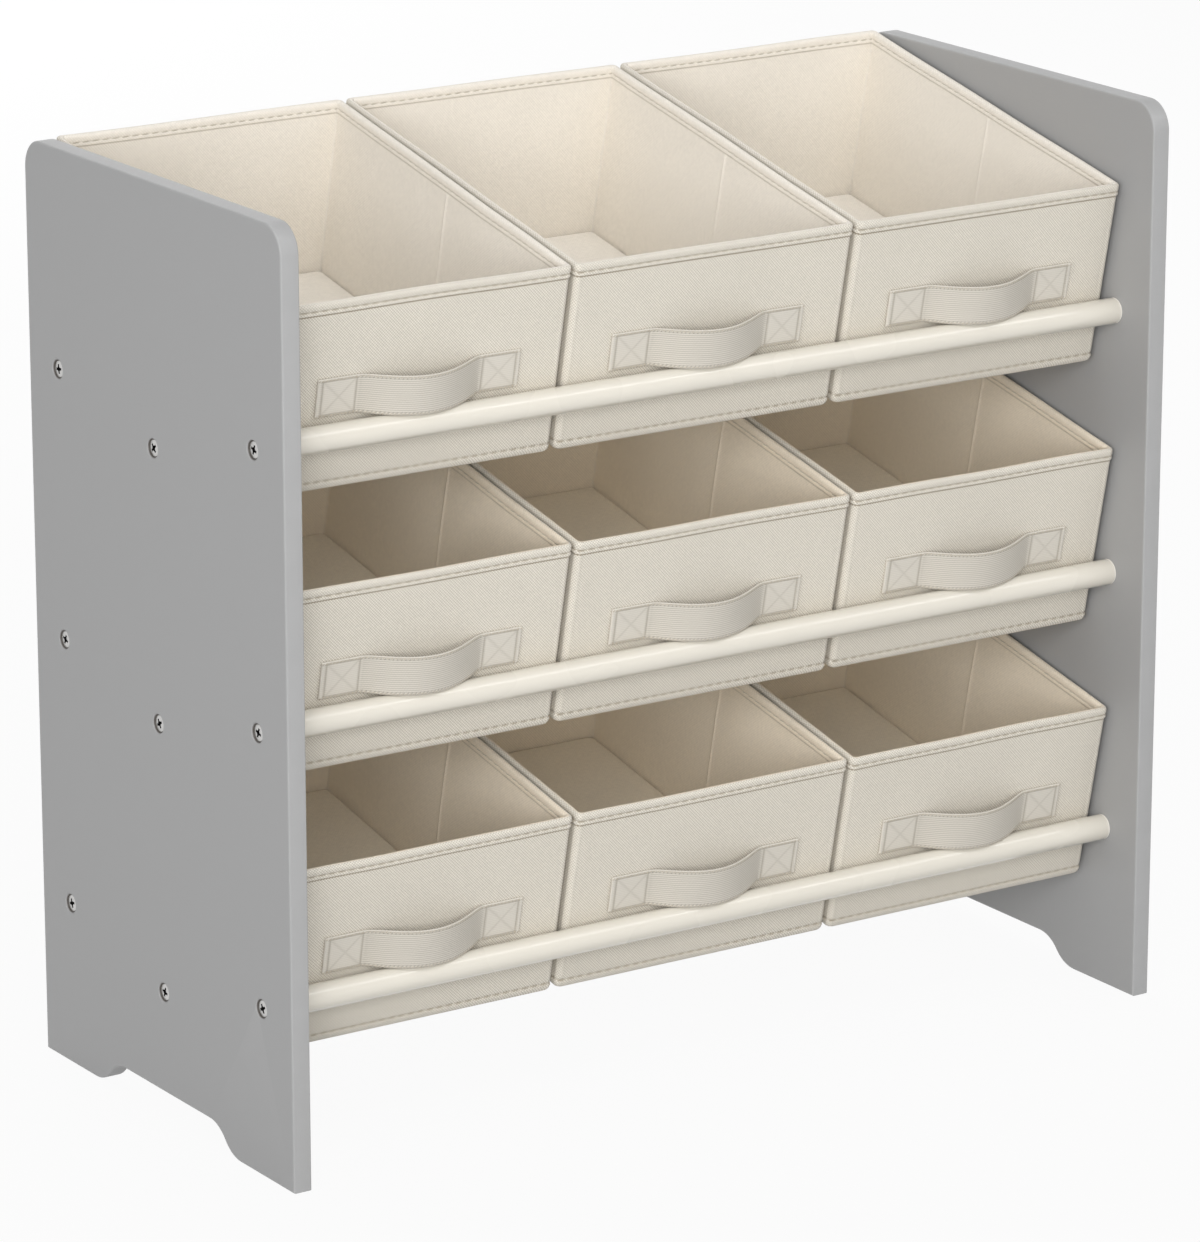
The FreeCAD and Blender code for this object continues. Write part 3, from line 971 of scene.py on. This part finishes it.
def strap_marks():
    """Places along the strap, evenly spaced over its length, and which of them have needle holes."""
    half = STRAP_LENGTH / 2
    fine = numpy.linspace(-half, half, 1361)
    run = lengths_of([(x, strap_out(x, 0.5)) for x in fine])
    steps = 3 * round(run[-1] / WHIP_PITCH)
    even = numpy.interp(numpy.linspace(0, run[-1], steps + 1), run, fine)[1:-1]
    ends = numpy.array([half, half - 0.12, half - 0.4])
    holes = [False] * 3 + [here % 3 == 0 for here in range(1, steps)] + [False] * 3
    return numpy.concatenate((-ends, even, ends[::-1])), holes


def strap_mesh():
    """The strap as sections swept along it, thinned at its two ends where it is folded under."""
    section, seams = strap_section(), box_seams()
    half, count = STRAP_LENGTH / 2, len(section)
    marks, holes = strap_marks()
    vertices, sunk, slack = [], [], []
    for x, hole in zip(marks, holes):
        end = min(1.0, (half - abs(x)) / STRAP_TURN_UNDER)
        full = 0.25 + 0.75 * math.sqrt(max(0.0, 1 - (1 - end) ** 2))
        for across, out, face in section:
            dip = drawn_in(x, across, seams) if face and abs(x) > STRAP_SPAN / 2 - 2 else 0.0
            if face and hole and NEEDLE_BAND[0] < min(across, STRAP_HEIGHT - across) < NEEDLE_BAND[1]:
                dip = 1.0
            # Each dip is also painted as shade: in the needle holes and along the box stitches.
            sunk.append(dip)
            slack.append(max(0.0, min(1.0, (STRAP_SPAN / 2 + 1.0 - abs(x)) / 2.0)))
            vertices.append(off_strap(x, across, out * full - NEEDLE_DIP * dip)[0])
    lengths = lengths_of([(x, strap_out(x, 0.5)) for x in marks])
    around = lengths_of([spot[:2] for spot in section + section[:1]])
    faces, spread = net(len(marks), count, flipped=True), []
    for face in faces:
        spread += [(lengths[row], around[here]) if len(face) == 4
                   else (lengths[row] + section[here][1], section[here][0]) for row, here in face]
    return woven(vertices, count, faces, spread, {"seam": sunk, "slack": slack})


strap_webbing = webbing()
strap = strap_mesh()
for tier, column in bins:
    in_bin(tier, column, "strap", strap.copy(), strap_webbing, "strap_webbing", "handle")


# Stitches: cream sewing thread, coloured darker as painted shade, one line round the binding outside
# and one inside, one round the foot, the crossed boxes of the handle and the whipped edges of its webbing.
SEAM_STITCH = {"length": 4.8, "thread": 0.26, "arch": 0.30, "slant": 0.07}
BOX_STITCH = {"pitch": 2.7, "length": 2.1, "thread": 0.13, "arch": 0.15, "slant": 0.0}
WHIP_STITCH = {"pitch": WHIP_PITCH, "length": 1.3, "thread": 0.30, "arch": 0.30, "slant": 0.5}
BOX_LIFT, WHIP_LIFT = -0.18, 0.02
WHIP_IN = 1.0
# Both thread colours are darker than the cream thread: painted shade, so that the stitches read as dark
# dashes.
THREAD_LIGHT = (0.54, 0.485, 0.395, 1)
THREAD_SHADE = (0.24, 0.205, 0.150, 1)


def sewing_thread():
    thread = Finish("sewing_thread")
    fleck, fine = thread.noise(500.0), thread.noise(3000.0)
    return thread.surface(
        Base_Color=thread.blend(fleck * 0.5, THREAD_LIGHT, THREAD_SHADE), Roughness=0.62 + 0.15 * fine,
        Sheen_Weight=0.1, Normal=thread.relief(fine, 0.00005, 0.5))


def stitch_group():
    """Small arched stitches laid along a line, each square to the cloth and a little askew."""
    group, tree, given = node_group("stitches_along_seam", {
        "Pitch": "Float", "Length": "Float", "Thread": "Float", "Arch": "Float", "Slant": "Float",
        "Seed": "Int", "Finish": "Material"})
    half, thread = given["Length"] * 0.5, given["Thread"]
    arch = tree.node("GeometryNodeCurveQuadraticBezier", {}, {
        "Resolution": 5, "Start": vector(tree, X=0.0 - half, Z=0.0 - thread),
        "Middle": vector(tree, Z=given["Arch"]), "End": vector(tree, X=half, Z=0.0 - thread)})
    section = tree.node("GeometryNodeCurvePrimitiveCircle", {}, {"Resolution": 6, "Radius": thread})
    stitch = tree.node("GeometryNodeCurveToMesh", {},
                       {"Curve": arch, "Profile Curve": section, "Fill Caps": True})
    line = tree.node("GeometryNodeMeshToCurve", {}, {"Mesh": given["Geometry"]})
    spots = tree.node("GeometryNodeResampleCurve", {"mode": "LENGTH"},
                      {"Curve": line, "Length": given["Pitch"]})
    outward = tree.node("GeometryNodeInputNamedAttribute", {"data_type": "FLOAT_VECTOR"},
                        {"Name": "outward"})
    along = tree.node("GeometryNodeInputTangent")
    lie = tree.node("FunctionNodeAxesToRotation", {"primary_axis": "Z", "secondary_axis": "X"},
                    {"Primary Axis": outward, "Secondary Axis": along})
    askew = chance(tree, given["Slant"] * 0.6, given["Slant"] * 1.4, given["Seed"])
    turn = tree.node("FunctionNodeEulerToRotation", {}, {"Euler": vector(tree, Z=askew)})
    lie = tree.node("FunctionNodeRotateRotation", {"rotation_space": "LOCAL"},
                    {"Rotation": lie, "Rotate By": turn})
    return close_group(group, tree, spots, stitch, lie, given["Finish"])


def sewn(lines, seed, pitch, length, thread, arch, slant):
    """Stitches along (points, outward ways, closed) lines, sizes in millimetres, as a mesh."""
    seam = bpy.data.meshes.new("seam")
    points, ways, edges = [], [], []
    for line, outward, closed in lines:
        first = len(points)
        points += [Vector(point) * MM for point in line]
        ways += [*outward]
        edges += [(first + here, first + here + 1) for here in range(len(line) - 1)]
        if closed:
            edges.append((len(points) - 1, first))
    seam.from_pydata(points, edges, [])
    seam.attributes.new("outward", "FLOAT_VECTOR", "POINT").data.foreach_set("vector", numpy.ravel(ways))
    return run_nodes(as_object("seam", seam), stitching, {
        "Pitch": pitch * MM, "Length": length * MM, "Thread": thread * MM, "Arch": arch * MM,
        "Slant": slant, "Seed": seed, "Finish": thread_finish})


def strap_line(places, lift):
    """The line of stitches through the places on the strap's face."""
    spots = [off_strap(x, across, STRAP_THICK / 2 + lift) for x, across in places]
    return [spot for spot, _ in spots], [way for _, way in spots], False


def strap_lines():
    boxes = []
    for corners, _ in box_seams():
        for start, end in zip(corners, corners[1:]):
            steps = max(2, round(math.dist(start, end) / 2))
            places = [start.lerp(end, step / steps) for step in range(steps + 1)]
            boxes.append(strap_line(places, BOX_LIFT))
    marks = numpy.linspace(-STRAP_LENGTH / 2 + 0.8, STRAP_LENGTH / 2 - 0.8, 150)
    edges = [strap_line([(x, across) for x in marks], WHIP_LIFT)
             for across in (WHIP_IN, STRAP_HEIGHT - WHIP_IN)]
    return boxes, edges


def joined(meshes):
    shape = bmesh.new()
    for mesh in meshes:
        shape.from_mesh(mesh)
    return as_mesh("stitches", shape)


thread_finish = sewing_thread()
stitching = stitch_group()
boxes, edges = strap_lines()
on_handle = [sewn(boxes, 31, **BOX_STITCH), sewn(edges, 32, **WHIP_STITCH)]
outward = numpy.column_stack((outline_ways, numpy.zeros(len(outline_ways))))
for seed, (tier, column) in enumerate(bins):
    foot, rim_outer, rim_inner = shell_seams[tier, column]
    lines = [(foot, outward, True), (rim_outer, outward, True), (rim_inner, -outward, True)]
    mesh = joined([sewn(lines, seed, seam_pitch, **SEAM_STITCH)] + on_handle)
    in_bin(tier, column, "stitches", mesh, thread_finish, "bin_fabric")


# Room: a plain pale floor that shows white, and soft studio lamps in front, above, at both ends
# and behind, of which only some are mirrored. The camera stands at the photograph's angle.
AIM = Vector((0.0012, 0.0, 0.2564))
CAMERA_AWAY = 3.830
CAMERA_AZIMUTH = math.radians(-33.55)
CAMERA_ELEVATION = math.radians(16.23)
FOCAL_LENGTH, SENSOR_WIDTH = 181.6, 36.0
WHITE = (1, 1, 1, 1)
FLOOR_RADIUS = 30.0
FLOOR_GREY = (0.50, 0.50, 0.50, 1)
FLOOR_GLOW = 0.94
ROOM_LIGHT = 0.28


def seen_directly(tree):
    """One for what the camera, a mirror or glass sees, nought for light that falls on things."""
    path = tree.node("ShaderNodeLightPath").socket.node.outputs
    seen = Line(tree, path["Is Camera Ray"]) + Line(tree, path["Is Glossy Ray"])
    return seen.maths("MINIMUM", seen + Line(tree, path["Is Transmission Ray"]), 1.0)


def pale_floor():
    floor = Finish("floor")
    plain = floor.node("ShaderNodeBsdfDiffuse", {}, {"Color": FLOOR_GREY})
    white = floor.node("ShaderNodeEmission", {}, {"Color": WHITE, "Strength": 1.0})
    mixed = floor.node("ShaderNodeMixShader", {}, {0: seen_directly(floor) * FLOOR_GLOW, 1: plain, 2: white})
    floor.node("ShaderNodeOutputMaterial", {}, {"Surface": mixed})
    return floor.material


shape = bmesh.new()
bmesh.ops.create_circle(shape, cap_ends=True, segments=96, radius=FLOOR_RADIUS)
floor = as_object("floor", shape)
floor.data.materials.append(pale_floor())

world = bpy.data.worlds.new("studio")
bpy.context.scene.world = world
world.use_nodes = True
world.node_tree.nodes.clear()
air = Tree(world.node_tree)
level = ROOM_LIGHT + seen_directly(air) * (1.0 - ROOM_LIGHT)
light = air.node("ShaderNodeBackground", {}, {"Color": WHITE, "Strength": level})
air.node("ShaderNodeOutputWorld", {}, {"Surface": light})


def softbox(name, place, size, power, target=AIM, mirrored=True):
    """A lamp turned to its target. One that isn't mirrored leaves no bright patch on the rods."""
    lamp = bpy.data.lights.new(name, "AREA")
    lamp.shape, lamp.size, lamp.size_y, lamp.energy = "RECTANGLE", size[0], size[1], power
    holder = as_object(name, lamp)
    holder.location = place
    holder.rotation_euler = (target - Vector(place)).to_track_quat("-Z", "Y").to_euler()
    holder.visible_glossy = mirrored


back = Vector((math.sin(CAMERA_AZIMUTH) * math.cos(CAMERA_ELEVATION),
               -math.cos(CAMERA_AZIMUTH) * math.cos(CAMERA_ELEVATION), math.sin(CAMERA_ELEVATION)))
softbox("camera_softbox", AIM + back * 4.4, (2.2, 2.2), 103.0, mirrored=False)
softbox("low_softbox", (1.3, -2.9, 0.7), (1.4, 1.4), 5.0, mirrored=False)
softbox("left_softbox", (-3.05, -1.76, 1.0), (1.6, 1.6), 26.0)
softbox("top_softbox", (-0.4, -1.4, 3.2), (2.0, 2.0), 19.5)
softbox("strip_softbox", (1.17, -1.15, 1.72), (1.6, 0.2), 6.0, target=Vector((1.17, 0, 0.2564)))
softbox("back_softbox", (0.0, 2.0, 2.8), (2.6, 2.0), 18.0)
softbox("back_fill", (0.9, 3.6, 1.3), (2.0, 2.0), 78.0, mirrored=False)
softbox("right_fill", (3.1, 0.4, 0.75), (1.4, 1.4), 30.0, mirrored=False)

lens = bpy.data.cameras.new("camera")
lens.lens, lens.sensor_width, lens.sensor_fit = FOCAL_LENGTH, SENSOR_WIDTH, "AUTO"
lens.clip_end = 100.0
camera = as_object("camera", lens)
camera.location = AIM + back * CAMERA_AWAY
camera.rotation_euler = (-back).to_track_quat("-Z", "Y").to_euler()
bpy.context.scene.camera = camera
bpy.context.scene.view_settings.view_transform = "Standard"
